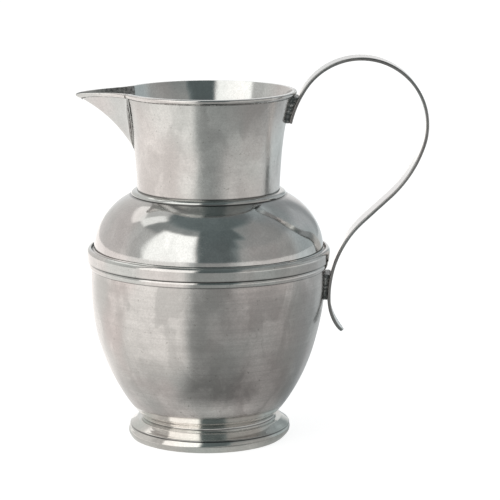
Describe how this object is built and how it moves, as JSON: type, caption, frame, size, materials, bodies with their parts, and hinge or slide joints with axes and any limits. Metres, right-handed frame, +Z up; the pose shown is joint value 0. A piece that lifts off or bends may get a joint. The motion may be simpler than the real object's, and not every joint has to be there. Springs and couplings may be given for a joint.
{
  "type": "pitcher",
  "caption": "Footed pewter pitcher with a round belly, flared neck, drawn-out pouring spout and bent strap handle, for carrying and serving drinks.",
  "frame": {"origin": "centre of the foot's standing face, on the pitcher's axis", "axes": "+Z up along the pitcher's axis, +X towards the handle, -X towards the spout"},
  "size_m": [0.1992, 0.1388, 0.2187],
  "materials": {
    "pewter": "satin",
    "solder": "dull"
  },
  "bodies": {
    "root": {"foot": "pewter", "bowl": "pewter", "girth_bead": "pewter", "girth_band": "pewter", "shoulder": "pewter", "collar": "pewter", "neck": "pewter", "rim_bead": "pewter", "spout": "pewter", "lip_bead": "pewter", "handle": "pewter", "handle_top_pad": "solder", "handle_low_pad": "solder"}
  },
  "joints": []
}
